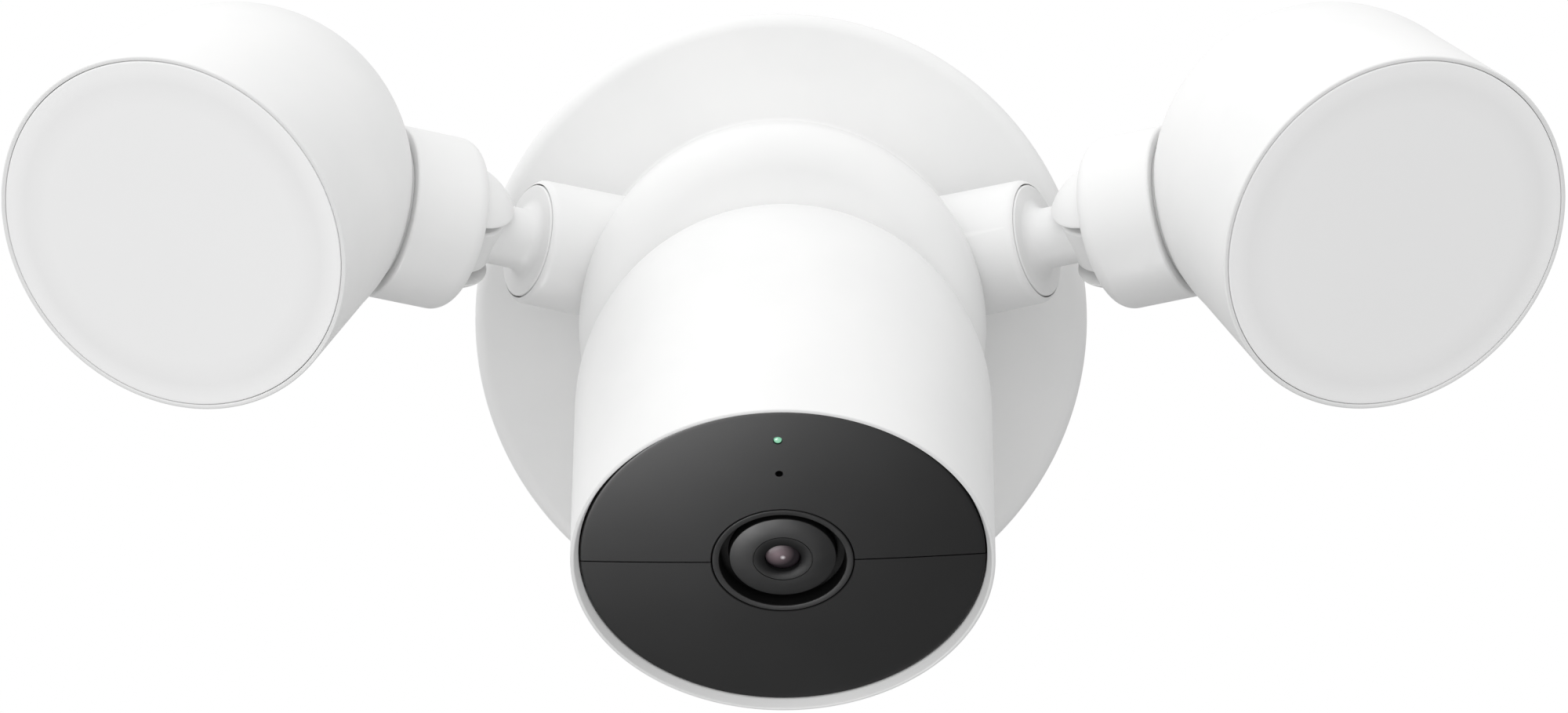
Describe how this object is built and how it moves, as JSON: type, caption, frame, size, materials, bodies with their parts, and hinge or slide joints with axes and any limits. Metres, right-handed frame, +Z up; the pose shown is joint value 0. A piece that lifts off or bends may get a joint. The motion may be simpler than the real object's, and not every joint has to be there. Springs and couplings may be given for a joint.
{
  "type": "floodlight security camera",
  "caption": "Wall floodlight with a ball-mounted camera on a round base and an adjustable light head on a jointed arm at each side.",
  "frame": {"origin": "centre of the wall bracket's rear face, on the wall plane", "axes": "+X to the viewer's right, -Y out from the wall towards the viewer, +Z up"},
  "size_m": [0.308, 0.1327, 0.1404],
  "materials": {
    "white_plastic": "matt white moulded plastic with a fine texture",
    "smoked_window": "dark smoked acrylic, satin gloss",
    "black_plastic": "black moulded plastic",
    "frosted_diffuser": "frosted white polycarbonate, translucent",
    "lens_glass": "coated glass with a faint purple glow",
    "rubber": "black rubber",
    "circuit_board": "green solder mask",
    "steel": "zinc plated steel",
    "aluminium": "as cast",
    "reflector_white": "white reflector plastic",
    "phosphor": "yellow phosphor",
    "status_light": "green light pipe"
  },
  "bodies": {
    "base": {"base_housing": "white_plastic", "wall_bracket": "steel", "wall_gasket": "rubber", "back_cover": "white_plastic", "cable_gland": "rubber", "terminal_block": "white_plastic", "back_cover_screw_1": "steel", "back_cover_screw_2": "steel", "back_cover_screw_3": "steel", "base_screw_1": "steel", "base_screw_2": "steel", "driver_board": "circuit_board", "transformer": "black_plastic", "seat_magnet": "steel"},
    "ball_pan": {"magnet_keeper": "steel"},
    "ball_tilt": {"keeper_carrier": "black_plastic"},
    "camera": {"camera_shell": "white_plastic", "front_frame": "black_plastic", "window_upper": "smoked_window", "window_lower": "smoked_window", "lens_bezel": "black_plastic", "lens_cover": "smoked_window", "lens_glass": "lens_glass", "lens_barrel": "black_plastic", "image_sensor": "black_plastic", "main_board": "circuit_board", "front_board": "circuit_board", "status_light": "status_light", "microphone": "steel", "motion_sensor": "steel", "infrared_led_right": "black_plastic", "infrared_led_left": "black_plastic", "speaker": "black_plastic"},
    "button": {"reset_button": "white_plastic"},
    "arm_right": {"arm_stem_right": "white_plastic", "arm_seal_right": "rubber", "arm_nut_right": "steel"},
    "neck_right": {"neck_right": "white_plastic", "knuckle_pin_right": "steel", "neck_retainer_right": "steel"},
    "head_right": {"head_housing_right": "white_plastic", "heat_sink_right": "aluminium", "led_board_right": "circuit_board", "led_emitter_right": "phosphor", "reflector_right": "reflector_white", "diffuser_gasket_right": "rubber", "diffuser_right": "frosted_diffuser"},
    "arm_left": {"arm_stem_left": "white_plastic", "arm_seal_left": "rubber", "arm_nut_left": "steel"},
    "neck_left": {"neck_left": "white_plastic", "knuckle_pin_left": "steel", "neck_retainer_left": "steel"},
    "head_left": {"head_housing_left": "white_plastic", "heat_sink_left": "aluminium", "led_board_left": "circuit_board", "led_emitter_left": "phosphor", "reflector_left": "reflector_white", "diffuser_gasket_left": "rubber", "diffuser_left": "frosted_diffuser"}
  },
  "joints": [
    {"name": "camera_pan", "type": "hinge", "parent": "base", "child": "ball_pan", "pos_m": [0, -0.074, -0.0162], "axis": [0, 0, 1], "range_deg": [-25, 25]},
    {"name": "camera_tilt", "type": "hinge", "parent": "ball_pan", "child": "ball_tilt", "pos_m": [0, -0.074, -0.0162], "axis": [-0.9999, 0.0122, 0], "range_deg": [-12, 40]},
    {"name": "camera_roll", "type": "hinge", "parent": "ball_tilt", "child": "camera", "pos_m": [0, -0.074, -0.0162], "axis": [-0.0092, -0.7558, -0.6547], "range_deg": [-20, 20]},
    {"name": "button_press", "type": "slide", "parent": "camera", "child": "button", "axis": [-0.0359, -0.6541, 0.7556], "range_m": [0, 0.0008], "stiffness_N_per_m": 400, "springref_m": -0.0008},
    {"name": "arm_swivel_right", "type": "hinge", "parent": "base", "child": "arm_right", "pos_m": [0.0517, -0.048, 0.0173], "axis": [0.8935, -0.4016, 0.2011], "range_deg": [-90, 90]},
    {"name": "knuckle_right", "type": "hinge", "parent": "arm_right", "child": "neck_right", "pos_m": [0.06662, -0.05471, 0.02066], "axis": [0.3874, 0.4626, -0.7975], "range_deg": [-40, 30]},
    {"name": "head_twist_right", "type": "hinge", "parent": "neck_right", "child": "head_right", "pos_m": [0.10893, -0.07372, 0.03018], "axis": [0.8935, -0.4016, 0.2011], "range_deg": [-90, 90]},
    {"name": "arm_swivel_left", "type": "hinge", "parent": "base", "child": "arm_left", "pos_m": [-0.0517, -0.048, 0.0173], "axis": [0.8935, 0.4016, -0.2011], "range_deg": [-90, 90]},
    {"name": "knuckle_left", "type": "hinge", "parent": "arm_left", "child": "neck_left", "pos_m": [-0.06662, -0.05471, 0.02066], "axis": [0.3874, -0.4626, 0.7975], "range_deg": [-40, 30]},
    {"name": "head_twist_left", "type": "hinge", "parent": "neck_left", "child": "head_left", "pos_m": [-0.10893, -0.07372, 0.03018], "axis": [0.8935, 0.4016, -0.2011], "range_deg": [-90, 90]}
  ]
}
